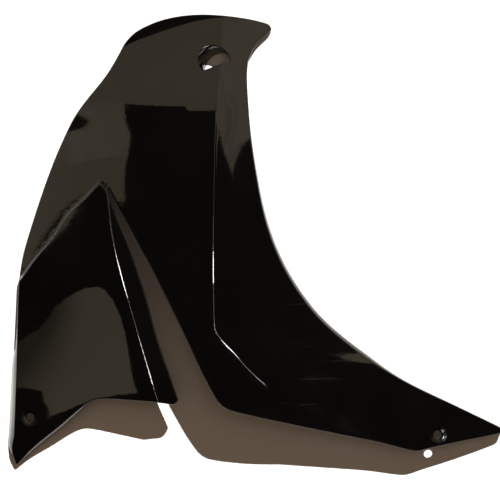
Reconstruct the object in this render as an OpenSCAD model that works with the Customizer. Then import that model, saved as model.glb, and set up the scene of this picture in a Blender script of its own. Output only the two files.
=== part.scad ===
// Side fairing of a small motorcycle: one gloss moulding with a crowned outer
// skin, a winglet that stands proud of it, an open slot between the two, a
// tail that sweeps out to a point, and three fixing places.
// The panel lies on its rim with the outer skin up. Points are in millimetres
// on a plan with x to the right and y up, from the lower left of the outline.

/* [Skin] */
// Thickness of the moulded wall
wall = 2.6; // [1.8:0.1:4]
// Depth of the rim that turns down all round the edge
lip_h = 6; // [6:0.5:9]
// How far the rim flares out as it goes down
lip_flare = 0.8; // [0:0.1:1.2]
// Flare of the rim along the top edge and at the tips
brow_flare = 0.3; // [0:0.1:0.8]
// Flare of the rim along the hollow free edge
free_flare = 2.8; // [0:0.1:4]
// Flare of the rim under the winglet
foot_flare = 2.6; // [0:0.1:4]
// Slope of the narrow band along the top edge
brow_slope = 0.3; // [0.1:0.05:0.4]

/* [Heights] */
// Height of the skin along its spine, at its crown
crown_h = 68; // [50:1:85]
// Height of the spine where it meets the top edge
brow_h = 12; // [11:0.5:16]
// Height of the lower corner beside the slot
heel_h = 57; // [40:1:66]
// Height of the hollow free edge, at its middle
edge_h = 35; // [22:1:45]
// Height of the tail at its point
tail_h = 12; // [6:0.5:14]
// Crown of the tail between the ridge and the free edge, as a share of its fall
tail_crown = 0.4; // [0:0.05:0.5]
// Radius of the skin across its left face
face_r = 318; // [316:2:500]
// Radius of the skin between the spine and the lower ridge
heel_r = 350; // [280:10:600]
// Extra fall of the right face just beside the ridge, as a share of its height
cove = 0.35; // [0:0.05:0.5]

/* [Winglet] */
// Height of the winglet's crest at its middle
crest_h = 51; // [42:1:58]
// Height of the crest at the lower edge
crest_foot_h = 43; // [32:1:48]
// Height of the winglet's outer edge
wing_edge_h = 17; // [15:1:24]
// Height of the outer edge where the winglet's step meets it
edge_foot_h = 8.5; // [7:0.5:12]
// Height of the winglet's lower tip
tip_h = 6; // [5:0.5:6]
// How far the flank beside the winglet stands out at its foot
flank_flare = 6.6; // [1:0.2:9]
// Slope of the narrow facet between the crest and the slot
facet_slope = 0.3; // [0.1:0.05:0.5]
// Swell of the winglet's broad facet
wing_swell = 6; // [0:0.5:9]
// Run of the small step up to the winglet
step_run = 2.5; // [1.5:0.5:5]

/* [Fixings] */
// Distance of the tail screw from the tail's point
tail_screw_in = 66; // [58:1:80]
// Distance of the tail screw from the tail's lower edge
tail_screw_up = 16; // [15:1:26]
// Distance of the winglet screw from the lower tip, across
wing_screw_in = 14.5; // [14:0.5:30]
// Distance of the winglet screw from the lower tip, up
wing_screw_up = 49; // [40:1:80]
// Bore for each screw
screw_d = 8.4; // [5:0.2:9]
// Width of the dished seat round a screw
seat_d = 15; // [13:0.5:16]
// Depth of the dished seat
seat_depth = 2.6; // [1:0.2:5]
// Thickness under the seat and round it
seat_wall = 2; // [1.5:0.1:3.5]

/* [Sleeve] */
// Distance of the D shaped opening from the ridge, to its left
sleeve_left = 7.5; // [0:0.5:12]
// Distance of the D shaped opening from the top edge
sleeve_in = 45.4; // [40:0.2:56]
// Radius of its round side
sleeve_r = 14.7; // [10:0.1:19]
// Distance from its centre to its flat side
sleeve_flat = 6; // [3:0.5:9]
// Turn of the flat side
sleeve_turn = 34; // [0:1:40]
// Depth of the sleeve below the skin
sleeve_depth = 14; // [8:1:16]
// Lean of the sleeve to the right as it goes down
sleeve_lean_x = 25; // [0:1:30]
// Lean of the sleeve towards the tail as it goes down
sleeve_lean_y = 24; // [0:1:30]
// Wall of the sleeve
sleeve_wall = 2; // [1.5:0.1:3]

/* [Hidden] */
$fn = 48;
hair = 0.01;

// Rows and columns of the skin's net, from the top edge to the tail
upper_rows = 16;
lower_rows = 22;
tail_rows = 16;
wing_cols = 10;
facet_cols = 2;
face_cols = 10;
cove_cols = 9;

// Where the rim starts to deepen towards the tail, and over what length
tail_lip_x = 400;
tail_lip_run = 85;

// Edges of the plan, each a smooth curve through its points
top_left = [[113, 422], [118, 429], [126, 436.5]];
top_seam = [[126, 436.5], [138, 443], [151, 448]];
top_face = [[151, 448], [170, 452], [192, 453.4], [211.5, 452.4]];
top_cove = [[211.5, 452.4], [230, 450.4], [248, 447], [259, 443.5], [262, 438.5]];
brow_left = [[110.5, 416.5], [116, 420.5], [123, 424]];
brow_seam = [[123, 424], [135, 429], [147, 433.5]];
brow_face = [[147, 433.5], [163, 439], [187, 446], [211.5, 449.5]];
brow_cove = [[211.5, 449.5], [230, 447.5], [247, 444.3], [257, 441], [259, 436]];
outer_left = [[110.5, 416.5], [97, 393], [67, 354], [51, 323], [36, 286], [22, 245], [13, 215], [9, 190]];
wing_left = [[9, 188], [7.4, 155], [7, 103], [6, 66], [4.6, 34], [2, 18], [6, 2]];
wing_foot = [[6, 2], [25.5, 22.5], [50.5, 43], [73, 62], [85, 69], [97, 70.5], [122, 69.5], [149, 67.5]];
facet_foot = [[149, 67.5], [158, 66], [164, 65], [169, 68.5]];
step_line = [[9, 190], [24, 210], [43, 232], [58, 254], [75, 270], [92, 287]];
step_nose = [[92, 287], [95, 286], [98, 281]];
crest = [[94, 284], [98, 270], [103, 234], [114, 188], [125, 150], [137, 109], [149, 67.5]];
slot_left = [[98, 279], [109, 248], [120, 222], [130, 193], [138, 168], [148, 130], [162, 89], [169, 68.5]];
slot_right = [[98, 281], [105, 272], [128, 228], [144, 199], [172, 143], [196, 92], [206, 70], [211, 63.5]];
seam_crest = [[123, 424], [118, 390], [104, 330], [92, 287]];
seam_slot = [[147, 433.5], [139, 390], [116, 320], [98, 281]];
ridge_upper = [[211.5, 449.5], [211, 401], [207, 352], [204, 290], [204, 250]];
ridge_lower = [[204, 250], [204, 150], [206, 137], [219, 122], [237, 101], [260, 79], [281, 46]];
free_upper = [[259, 436], [247, 425], [238, 405], [238.2, 365], [244, 307], [255.4, 247]];
free_lower = [[255.4, 247], [273, 201.5], [298.4, 162], [324, 135.5]];
free_tail = [[324, 135.5], [359.4, 108.8], [395.4, 86.8], [445.6, 62.5], [490, 41]];
foot_heel = [[211, 63.5], [218, 60.5], [242, 55], [281, 46]];
foot_tail = [[281, 46], [330, 35.5], [370, 27], [396, 20], [406, 18.5], [426, 23], [490, 35]];
tail_end = [[490, 35], [493, 37.5], [490, 41]];

// Stations of the skin up the plan, each [y, value]
spine_x = [[455, 211.5], [401, 211], [352, 207], [268, 204], [0, 204]];
ridge_x = [[455, 211.5], [401, 211], [352, 207], [268, 204], [150, 204], [137, 206],
           [122, 219], [101, 237], [79, 260], [46, 281], [0, 308]];
free_x = [[455, 262], [430, 251], [405, 240], [365, 238], [307, 244], [249, 255], [202, 274],
          [159, 304], [124, 343], [93, 390], [63, 447], [41, 490], [0, 572]];
spine_z = [[455, brow_h], [408, brow_h + 11], [348, brow_h + 33], [268, crown_h - 9],
           [208, crown_h - 2], [168, crown_h], [128, crown_h - 2], [92, heel_h + 4.5],
           [63, heel_h], [0, heel_h - 10]];
free_z = [[455, brow_h - 4], [430, brow_h - 2], [405, brow_h + 4], [365, edge_h - 13],
          [307, edge_h - 3], [249, edge_h], [202, edge_h], [159, edge_h - 2], [124, edge_h - 6],
          [93, tail_h + 18], [63, tail_h + 9], [41, tail_h], [0, tail_h]];
cove_share = [[455, 0.1], [400, 0.1], [330, cove], [150, cove], [70, -0.1], [40, -tail_crown],
              [0, -tail_crown]];
face_rs = [[455, 1.9 * face_r], [400, 1.6 * face_r], [330, face_r], [0, face_r]];

// Stations of the winglet up the plan, each [y, value]
crest_x = [[300, 90], [284, 94], [270, 98], [234, 103], [188, 114], [150, 125], [109, 137],
           [67, 149], [0, 171]];
crest_z = [[300, crest_h - 13], [270, crest_h - 7], [223, crest_h - 2], [168, crest_h],
           [118, crest_h - 3],
           [68, crest_foot_h], [40, crest_foot_h - 8], [0, crest_foot_h - 16]];
wing_x = [[300, 41], [250, 24], [215, 13], [190, 9], [148, 7.4], [66, 6], [0, 4]];
wing_z = [[300, edge_foot_h + 3], [190, edge_foot_h], [160, edge_foot_h],
          [129, edge_foot_h + 3], [103, wing_edge_h - 3], [76, wing_edge_h],
          [45, wing_edge_h - 1], [28, tip_h + 7], [2, tip_h]];
flank_fall = [[190, lip_h], [170, edge_foot_h], [129, wing_edge_h], [2, wing_edge_h]];
flank_out = [[190, brow_flare], [172, lip_flare], [150, 0.2 * flank_flare], [129, 0.4 * flank_flare],
             [105, 0.85 * flank_flare], [84, 0.95 * flank_flare], [50, flank_flare],
             [30, flank_flare], [20, 0.75 * flank_flare], [10, 0.2 * flank_flare],
             [2, brow_flare]];
swell = [[300, 1], [250, wing_swell / 2], [190, wing_swell], [148, wing_swell],
         [100, wing_swell / 2], [68, 1], [0, 0]];

// Flare of the rim: down the free edge, up the slot and along the winglet's foot
free_out = [[455, brow_flare], [350, brow_flare], [307, 0.4 * free_flare], [224, 0.8 * free_flare],
            [150, free_flare], [115, free_flare], [88, lip_flare], [41, brow_flare]];
slot_out = [[290, 0], [230, 0], [180, lip_flare], [60, lip_flare]];
foot_out = [[169, brow_flare], [149, lip_flare], [97, lip_flare], [80, 0.8 * foot_flare],
            [60, foot_flare], [30, foot_flare], [14, 0.5 * foot_flare], [6, brow_flare]];

// Value of a smooth cubic between two stations
function hermite(a, b, ma, mb, t) =
    a * (2 * t ^ 3 - 3 * t ^ 2 + 1) + ma * (t ^ 3 - 2 * t ^ 2 + t)
    + b * (3 * t ^ 2 - 2 * t ^ 3) + mb * (t ^ 3 - t ^ 2);

// Rate of change at entry i of values v held at places k
function rate(k, v, i) =
    let (a = max(i - 1, 0), b = min(i + 1, len(k) - 1))
    (v[b] - v[a]) / (k[b] - k[a]);

// Smooth value at place s of values v held at places k, which rise
function smooth(k, v, s, i = 0) =
    i < len(k) - 2 && s > k[i + 1] ? smooth(k, v, s, i + 1)
    : let (span = k[i + 1] - k[i], t = (s - k[i]) / span)
      hermite(v[i], v[i + 1], rate(k, v, i) * span, rate(k, v, i + 1) * span, t);

// Value of a station list at height y of the plan
function station(list, y) =
    smooth([for (p = list) -p[0]], [for (p = list) p[1]], -y);

// Lengths along a run of points, from its start
function run_lengths(p, i = 0, sum = 0) =
    i == len(p) - 1 ? [sum] : concat([sum], run_lengths(p, i + 1, sum + norm(p[i + 1] - p[i])));

// A curve through points p, cut into n even parts
function curve(p, n) =
    let (k = run_lengths(p))
    [for (i = [0:n]) smooth(k, p, k[len(k) - 1] * i / n)];

// Rows of points that fill four edges: top, foot, left and right
function net(top, foot, left, right) =
    let (nu = len(top) - 1, nv = len(left) - 1)
    [for (j = [0:nv]) let (v = j / nv) [for (i = [0:nu]) let (u = i / nu)
        (1 - v) * top[i] + v * foot[i] + (1 - u) * left[j] + u * right[j]
        - (1 - u) * (1 - v) * top[0] - u * (1 - v) * top[nu]
        - (1 - u) * v * foot[0] - u * v * foot[nu]]];

// Height of the main skin over point p of the plan
function main_z(p) =
    let (y = p.y, sx = station(spine_x, y), rx = station(ridge_x, y), sz = station(spine_z, y),
         side_r = p.x < sx ? station(face_rs, y) : heel_r, near_x = min(p.x, rx),
         near_z = sz - (near_x - sx) ^ 2 / (2 * side_r),
         w = (p.x - rx) / (station(free_x, y) - rx))
    p.x <= rx ? near_z
    : near_z - (near_z - station(free_z, y)) * (w + station(cove_share, y) * w * (1 - w));

// Height of the winglet over point p of the plan
function winglet_z(p) =
    let (y = p.y, cx = station(crest_x, y), cz = station(crest_z, y), lx = station(wing_x, y),
         lz = station(wing_z, y), q = (p.x - lx) / (cx - lx))
    p.x > cx ? cz - facet_slope * (p.x - cx)
    : lz + (cz - lz) * q + 4 * station(swell, y) * q * (1 - q);

function skin_z(p, wing) = wing ? winglet_z(p) : main_z(p);

// Upward normal of the skin over point p of the plan
function skin_n(p, wing) =
    let (n = [skin_z(p - [1, 0], wing) - skin_z(p + [1, 0], wing),
              skin_z(p - [0, 1], wing) - skin_z(p + [0, 1], wing), 2])
    n / norm(n);

// A list without its first entry
function rest(list) = [for (i = [1:1:len(list) - 1]) list[i]];

// Columns of the net: the slot stands between columns slot_col and slot_col + 1
slot_col = wing_cols + facet_cols;
ridge_col = slot_col + 1 + face_cols;
last_col = ridge_col + cove_cols;
columns = last_col + 1;

// Rows of the net: the top edge, the brow line, then down to the step, the foot and the tail
step_row = upper_rows + 1;
foot_row = step_row + lower_rows;
last_row = foot_row + tail_rows;

// Patches of the plan, as rows of points
step_shift = step_run * [0.7, -0.7];
over_wing = net(curve(brow_left, wing_cols), curve(step_line, wing_cols),
                curve(outer_left, upper_rows), curve(seam_crest, upper_rows));
over_facet = net(curve(brow_seam, facet_cols), curve(step_nose, facet_cols),
                 curve(seam_crest, upper_rows), curve(seam_slot, upper_rows));
upper_face = net(curve(brow_face, face_cols), curve([slot_right[0], ridge_lower[0]], face_cols),
                 curve(seam_slot, upper_rows), curve(ridge_upper, upper_rows));
upper_cove = net(curve(brow_cove, cove_cols), curve([ridge_lower[0], free_lower[0]], cove_cols),
                 curve(ridge_upper, upper_rows), curve(free_upper, upper_rows));
wing_face = net(curve(concat([wing_left[0]], [for (i = [1:4]) step_line[i] + step_shift],
                             [crest[0]]), wing_cols),
                curve(wing_foot, wing_cols), curve(wing_left, lower_rows - 1),
                curve(crest, lower_rows - 1));
wing_facet = net(curve([crest[0], slot_left[0]], facet_cols), curve(facet_foot, facet_cols),
                 curve(crest, lower_rows - 1), curve(slot_left, lower_rows - 1));
lower_face = net(curve([slot_right[0], ridge_lower[0]], face_cols), curve(foot_heel, face_cols),
                 curve(slot_right, lower_rows), curve(ridge_lower, lower_rows));
lower_cove = net(curve([ridge_lower[0], free_lower[0]], cove_cols),
                 curve([foot_tail[0], free_tail[0]], cove_cols),
                 curve(ridge_lower, lower_rows), curve(free_lower, lower_rows));
tail_cove = net(curve([foot_tail[0], free_tail[0]], cove_cols), curve(tail_end, cove_cols),
                curve(foot_tail, tail_rows), curve(free_tail, tail_rows));

// The whole plan, row by row
plan = concat(
    [concat(curve(top_left, wing_cols), rest(curve(top_seam, facet_cols)),
            curve(top_face, face_cols), rest(curve(top_cove, cove_cols)))],
    [for (j = [0:upper_rows])
        concat(over_wing[j], rest(over_facet[j]), upper_face[j], rest(upper_cove[j]))],
    [for (j = [1:lower_rows])
        concat(wing_face[j - 1], rest(wing_facet[j - 1]), lower_face[j], rest(lower_cove[j]))],
    [for (j = [1:tail_rows])
        concat([for (c = [0:ridge_col - 1]) foot_tail[0]], tail_cove[j])]);

function on_wing(r, c) = r > step_row && c <= slot_col;

// Outer skin, with the narrow brow bent down along the top edge
outer = [for (r = [0:last_row]) [for (c = [0:last_col])
    let (p = plan[r][c], fall = r == 0 ? brow_slope * norm(p - plan[1][c]) : 0)
    [p.x, p.y, skin_z(p, on_wing(r, c)) - fall]]];

// Place of net point r, c in a flat list: above the slot its two sides are one
function at(r, c) = r * columns + (c == slot_col + 1 && r <= step_row ? slot_col : c);

// The edge of the net, clockwise from the top left
edge = concat(
    [for (c = [0:last_col]) if (c != slot_col + 1) [0, c]],
    [for (r = [1:last_row]) [r, last_col]],
    [for (c = [last_col - 1:-1:ridge_col]) [last_row, c]],
    [for (r = [last_row - 1:-1:foot_row]) [r, ridge_col]],
    [for (c = [ridge_col - 1:-1:slot_col + 1]) [foot_row, c]],
    [for (r = [foot_row - 1:-1:step_row + 1]) [r, slot_col + 1]],
    [for (r = [step_row:foot_row]) [r, slot_col]],
    [for (c = [slot_col - 1:-1:0]) [foot_row, c]],
    [for (r = [foot_row - 1:-1:1]) [r, 0]]);
edges = len(edge);
function plan_at(e) = plan[e[0]][e[1]];
function edge_at(k) = edge[(k + edges) % edges];

// Outward direction of the edge, in plan
function outward(k) =
    let (t = plan_at(edge_at(k + 1)) - plan_at(edge_at(k - 1)))
    [-t.y, t.x] / norm(t);

// Net point one step in from edge point e
function inward(e) =
    let (r = e[0], c = e[1],
         low = r <= step_row ? 1 : c <= slot_col ? 1 : r <= foot_row ? slot_col + 2 : ridge_col + 1,
         high = r > step_row && c <= slot_col ? slot_col - 1 : last_col - 1,
         floor_row = c <= ridge_col && r <= foot_row ? foot_row - 1 : last_row - 1)
    r == step_row && c == slot_col ? [r - 1, c]
    : r == foot_row && c == ridge_col ? [r - 1, c]
    : [min(max(r, 1), floor_row), min(max(c, low), high)];

// Edge of the inner skin: the wall's thickness in from the rim
function rim_in(k) =
    let (e = edge_at(k), p = plan_at(e), o = outward(k), room = (p - plan_at(inward(e))) * o,
         q = p - o * max(0.3, min(wall, 0.6 * room)))
    [q.x, q.y, outer[e[0]][e[1]].z - wall];

// How far the rim flares out at its foot
function flare(k) =
    let (e = edge_at(k), p = plan_at(e), r = e[0], c = e[1])
    r <= step_row && c == slot_col ? 0
    : r == 0 || (c == 0 && r <= step_row) ? brow_flare
    : c == 0 ? station(flank_out, p.y)
    : c == last_col ? station(free_out, p.y)
    : r == foot_row && c <= slot_col ? station(foot_out, p.x)
    : r > step_row && c <= slot_col + 1 ? station(slot_out, p.y)
    : lip_flare;

// How far the rim goes down: a whole flank beside the winglet, and to the ground at the tail
function fall(k) =
    let (e = edge_at(k), p = plan_at(e))
    e[1] == 0 && e[0] > step_row ? station(flank_fall, p.y)
    : lip_h + max(0, tail_h - lip_h) * min(1, max(0, (p.x - tail_lip_x) / tail_lip_run));

rim_place = [for (k = [0:edges - 1]) at(edge[k][0], edge[k][1])];
rim_top = [for (k = [0:edges - 1]) outer[edge[k][0]][edge[k][1]]];
rim_foot = [for (k = [0:edges - 1]) let (p = rim_top[k], o = flare(k) * outward(k))
    [p.x + o.x, p.y + o.y, max(0, p.z - fall(k))]];
rim_foot_in = [for (k = [0:edges - 1]) let (p = rim_in(k), o = flare(k) * outward(k))
    [p.x + o.x, p.y + o.y, rim_foot[k].z]];

flat_outer = [for (row = outer) each row];
flat_inner = [for (r = [0:last_row]) for (c = [0:last_col])
    let (k = search(at(r, c), rim_place), p = outer[r][c])
    len(k) > 0 ? rim_in(k[0]) : p - wall * skin_n([p.x, p.y], on_wing(r, c))];
count = len(flat_outer);

// Two triangles of a four sided facet
function split(a, b, c, d) = [[a, b, c], [a, c, d]];

cells = [for (r = [0:last_row - 1]) for (c = [0:last_col - 1])
    if (c != slot_col && (r < foot_row || c >= ridge_col)) [r, c]];

module shell() {
    foot = 2 * count;
    polyhedron(
        points = concat(flat_outer, flat_inner, rim_foot, rim_foot_in),
        faces = concat(
            [for (e = cells) let (r = e[0], c = e[1])
                each split(at(r, c), at(r, c + 1), at(r + 1, c + 1), at(r + 1, c))],
            [for (e = cells) let (r = e[0], c = e[1])
                each split(count + at(r, c), count + at(r + 1, c), count + at(r + 1, c + 1),
                           count + at(r, c + 1))],
            [for (k = [0:edges - 1]) let (n = (k + 1) % edges, a = rim_place[k], b = rim_place[n],
                                          ob = foot + k, on = foot + n,
                                          ib = foot + edges + k, in = foot + edges + n)
                each concat(split(b, a, ob, on), split(on, ob, ib, in),
                            split(in, ib, count + a, count + b))]));
}

// Stands children on the skin over point p, square to it
module on_skin(p, wing = false) {
    n = skin_n(p, wing);
    translate([p.x, p.y, skin_z(p, wing)])
        rotate([0, acos(n.z), atan2(n.y, n.x)])
            children();
}

// Middle of the D shaped opening
sleeve_at = [ridge_upper[1].x - sleeve_left, top_face[len(top_face) - 1].y - sleeve_in];

// Stands children at the D shaped opening, along its lean
module at_sleeve() {
    translate([sleeve_at.x, sleeve_at.y, main_z(sleeve_at)])
        rotate([-sleeve_lean_y, -sleeve_lean_x, 0])
            children();
}

module sleeve_outline(r, flat) {
    intersection() {
        circle(r);
        rotate(sleeve_turn) translate([-r, -flat]) square([2 * r, flat + r]);
    }
}

// Solid from the plane under the panel up to the middle of the wall, near the sleeve
module under_skin() {
    span = sleeve_r + sleeve_depth;
    n = 8;
    xs = [for (i = [0:n]) sleeve_at.x + span * (2 * i / n - 1)];
    ys = [for (j = [0:n]) sleeve_at.y + span * (1 - 2 * j / n)];
    side = n + 1;
    top = [for (y = ys) for (x = xs) [x, y, main_z([x, y]) - wall / 2]];
    foot = [for (p = top) [p.x, p.y, hair]];
    m = side * side;
    rim = concat([for (i = [0:n - 1]) i], [for (j = [0:n - 1]) j * side + n],
                 [for (i = [n:-1:1]) n * side + i], [for (j = [n:-1:1]) j * side]);
    polyhedron(
        points = concat(top, foot),
        faces = concat(
            [for (j = [0:n - 1]) for (i = [0:n - 1]) let (a = j * side + i)
                each split(a, a + 1, a + side + 1, a + side)],
            [for (j = [0:n - 1]) for (i = [0:n - 1]) let (a = m + j * side + i)
                each split(a, a + side, a + side + 1, a + 1)],
            [for (k = [0:len(rim) - 1]) let (a = rim[k], b = rim[(k + 1) % len(rim)])
                each split(b, a, m + a, m + b)]));
}

module seat_cup() {
    translate([0, 0, -seat_depth - seat_wall])
        cylinder(d = seat_d + 2 * seat_wall, h = seat_depth + seat_wall - wall / 2);
}

module seat_cut() {
    translate([0, 0, -seat_depth]) cylinder(d = seat_d, h = seat_depth + 4);
    translate([0, 0, -seat_depth - seat_wall - 5]) cylinder(d = screw_d, h = seat_depth + 10);
}

tail_screw = [tail_end[1].x - tail_screw_in, foot_tail[4].y + tail_screw_up];
wing_screw = [wing_foot[0].x + wing_screw_in, wing_foot[0].y + wing_screw_up];

plan_x = [for (p = rim_foot) p.x];
plan_y = [for (p = rim_foot) p.y];
middle = [min(plan_x) + max(plan_x), min(plan_y) + max(plan_y)] / 2;

module fairing_panel() {
    color([0.05, 0.05, 0.055])
    translate([-middle.x, -middle.y, 0])
    difference() {
        union() {
            shell();
            on_skin(tail_screw) seat_cup();
            on_skin(wing_screw, true) seat_cup();
            intersection() {
                at_sleeve() translate([0, 0, -sleeve_depth])
                    linear_extrude(2 * sleeve_depth)
                        sleeve_outline(sleeve_r + sleeve_wall, sleeve_flat + sleeve_wall);
                under_skin();
            }
        }
        on_skin(tail_screw) seat_cut();
        on_skin(wing_screw, true) seat_cut();
        at_sleeve() translate([0, 0, -sleeve_depth - 5])
            linear_extrude(sleeve_depth + 15) sleeve_outline(sleeve_r, sleeve_flat);
    }
}

fairing_panel();
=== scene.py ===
"""Dresses the side fairing of a small motorcycle: one gloss moulding on a pale table."""
import math

import bpy
import numpy as np
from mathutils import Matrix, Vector
from mathutils.geometry import delaunay_2d_cdt
from mathutils.kdtree import KDTree


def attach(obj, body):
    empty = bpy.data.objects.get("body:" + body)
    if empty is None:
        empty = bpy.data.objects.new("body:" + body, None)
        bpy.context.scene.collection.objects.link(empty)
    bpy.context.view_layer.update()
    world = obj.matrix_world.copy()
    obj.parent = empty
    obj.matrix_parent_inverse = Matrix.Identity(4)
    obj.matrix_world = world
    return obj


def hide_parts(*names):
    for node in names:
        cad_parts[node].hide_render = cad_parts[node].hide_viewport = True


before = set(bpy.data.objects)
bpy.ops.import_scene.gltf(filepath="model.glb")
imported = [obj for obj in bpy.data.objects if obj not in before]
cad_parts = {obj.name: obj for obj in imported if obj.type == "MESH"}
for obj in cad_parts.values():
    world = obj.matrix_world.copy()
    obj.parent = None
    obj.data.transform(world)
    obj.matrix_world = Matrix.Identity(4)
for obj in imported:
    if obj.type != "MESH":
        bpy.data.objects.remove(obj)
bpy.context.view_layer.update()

bl_info = {
    "name": "Side fairing",
    "version": (1, 0, 0),
    "blender": (4, 5, 0),
    "location": "View3D > Sidebar > Fairing",
    "description": "Builds a gloss moulded motorcycle side fairing and its table",
    "category": "Add Mesh",
}

# The plan is in millimetres, x to the right and y up, and its middle stands at the frame's origin
MM = 0.001
PLAN_MIDDLE = np.array([245.477, 227.706])

# Skin sizes, as in the part
WALL = 2.6
LIP_H = 6.0
LIP_FLARE = 0.8
BROW_FLARE = 0.3
FREE_FLARE = 2.8
FOOT_FLARE = 2.6
BROW_SLOPE = 0.3
CROWN_H = 68.0
BROW_H = 12.0
HEEL_H = 57.0
EDGE_H = 35.0
TAIL_H = 12.0
TAIL_CROWN = 0.4
FACE_R = 318.0
HEEL_R = 350.0
COVE = 0.35
CREST_H = 51.0
CREST_FOOT_H = 43.0
WING_EDGE_H = 17.0
EDGE_FOOT_H = 8.5
TIP_H = 6.0
FLANK_FLARE = 6.6
FACET_SLOPE = 0.3
WING_SWELL = 6.0
STEP_RUN = 2.5
TAIL_LIP_X = 400.0
TAIL_LIP_RUN = 85.0
TAIL_SCREW = (427.0, 34.5)
WING_SCREW = (20.5, 51.0)
SCREW_R = 4.2
SEAT_R = 7.5
SEAT_DEPTH = 2.6
SEAT_WALL = 2.0
SLEEVE_AT = (203.5, 407.0)
SLEEVE_R = 14.7
SLEEVE_FLAT = 6.0
SLEEVE_TURN = 34.0
SLEEVE_DEPTH = 14.0
SLEEVE_LEAN = (25.0, 24.0)
SLEEVE_WALL = 2.0

# Finish of the edges, in millimetres
CORNER_SOFTNESS = 1.2
EDGE_ROUND = 1.3
FOOT_ROUND = 0.5
SEAT_BRIM_ROUND = 0.8
SLEEVE_BRIM_ROUND = 1.2
SLEEVE_CORNER = 1.2
BORE_ROUND = 0.3
END_ROUND = 0.4
CUP_WALL = 1.0
RIM_WALL = 2.0

# Where the skin is steeper than this upward share of its normal, the wall gets thinner
STEEP_LIMIT = 0.6

# Mesh: the points that a loop is rounded on stand this far apart, in millimetres, and grid points
# keep this share of their gap from edges and creases
FINE_GAP = 0.25
CLEAR_SHARE = 0.6

# The photograph's frame, in millimetres of the plan; the level is the height where its scale holds
VIEW_MIDDLE = (240.0, 218.0)
VIEW_WIDTH = 500.0
VIEW_LEVEL = 9.0

# Lights: the way to the lamp in metres, and how wide the lamp and the fill look, in degrees
LAMP_WAY = (0.36, 0.95, 1.0)
LAMP_WIDTH = 0.6
FILL_WIDTH = 60.0

# Boards that only the gloss mirrors, high over the table or close over the moulding. Each has a
# name, a tint, a strength, a height, a fade and an outline, in metres. It is dim left of the first
# place of its fade and fully lit right of the second. They were fitted to the view from above.
BROWN = (1.0, 0.84, 0.58)
WHITE = (1.0, 1.0, 1.0)
HIGH_H = 2.0
CLOSE_H = 0.15
DIM_SHARE = 0.3
NO_FADE = (-99.0, -98.0)
BOARDS = [
    ("wall_board", BROWN, 0.85, HIGH_H, NO_FADE, [
        (0.3, 2.74), (0.35, 1.0), (0.45, 0.5), (0.65, 0.4), (0.8, 0.6), (0.98, 1.1),
        (1.0, 1.6), (1.75, 1.7), (1.9, 1.4), (2.65, 1.4), (3.5, 1.0), (4.4, 1.35), (8, 2.5),
        (14, 5), (14, 9), (2, 9), (0.5, 2.75), (-1.9, 2.9), (-3.2, 3.3), (-14, 8), (-14, 0.5),
        (-6.3, 0.66), (-4.4, 0.74), (-2.99, 0.84), (-1.6, 0.72), (-1.5, 0.9), (-1.45, 1.08),
        (-1.4, 1.6), (-1.38, 2.84)]),
    ("band_board", BROWN, 0.85, CLOSE_H, NO_FADE, [
        (-0.32, 0.229), (-0.096, 0.229), (-0.09, 0.2135), (-0.03, 0.2135), (-0.03, 0.248),
        (0.02, 0.248), (0.02, 0.35), (-0.32, 0.35)]),
    ("side_board", BROWN, 1.1, CLOSE_H, NO_FADE, [
        (0.0, 0.185), (0.2, 0.175), (0.2, 0.3), (0.0, 0.3)]),
    ("left_board", BROWN, 0.85, CLOSE_H, NO_FADE, [
        (-0.8, 0.02), (-0.615, 0.041), (-0.535, 0.053), (-0.472, 0.066), (-0.42, 0.082),
        (-0.38, 0.088), (-0.336, 0.092), (-0.3, 0.09), (-0.26, 0.085), (-0.213, 0.077),
        (-0.205, 0.13), (-0.8, 0.13)]),
    ("low_board", BROWN, 0.85, CLOSE_H, (-0.37, -0.25), [
        (-0.46, -0.085), (-0.42, -0.077), (-0.386, -0.086), (-0.37, -0.0824), (-0.346, -0.0794),
        (-0.306, -0.07), (-0.263, -0.0589), (-0.231, -0.055), (-0.2116, -0.0593),
        (-0.1944, -0.0737), (-0.1792, -0.0985), (-0.1717, -0.1266), (-0.1695, -0.1528),
        (-0.1664, -0.1738), (-0.161, -0.1985), (-0.1762, -0.2026), (-0.1949, -0.2033),
        (-0.2186, -0.2065), (-0.2443, -0.2252), (-0.2602, -0.2265), (-0.2721, -0.1981),
        (-0.2864, -0.1642), (-0.322, -0.133), (-0.37, -0.118), (-0.46, -0.112)]),
    ("ridge_strip", WHITE, 60.0, HIGH_H, NO_FADE, [
        (0.2, 0.12), (0.6, 0.12), (0.6, 0.36), (0.2, 0.36)]),
    ("crest_strip", WHITE, 40.0, HIGH_H, NO_FADE, [
        (0.15, -0.52), (0.5, -0.52), (0.5, -0.36), (0.15, -0.36)]),
    ("thin_strip", WHITE, 12.0, HIGH_H, NO_FADE, [
        (0.425, 0.55), (0.425, -0.05), (0.385, -0.3), (0.385, -0.46), (0.44, -0.585),
        (0.535, -0.68), (0.655, -0.81), (0.625, -0.85), (0.505, -0.72), (0.4, -0.615),
        (0.335, -0.48), (0.335, -0.3), (0.375, -0.05), (0.375, 0.55)]),
]

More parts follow.
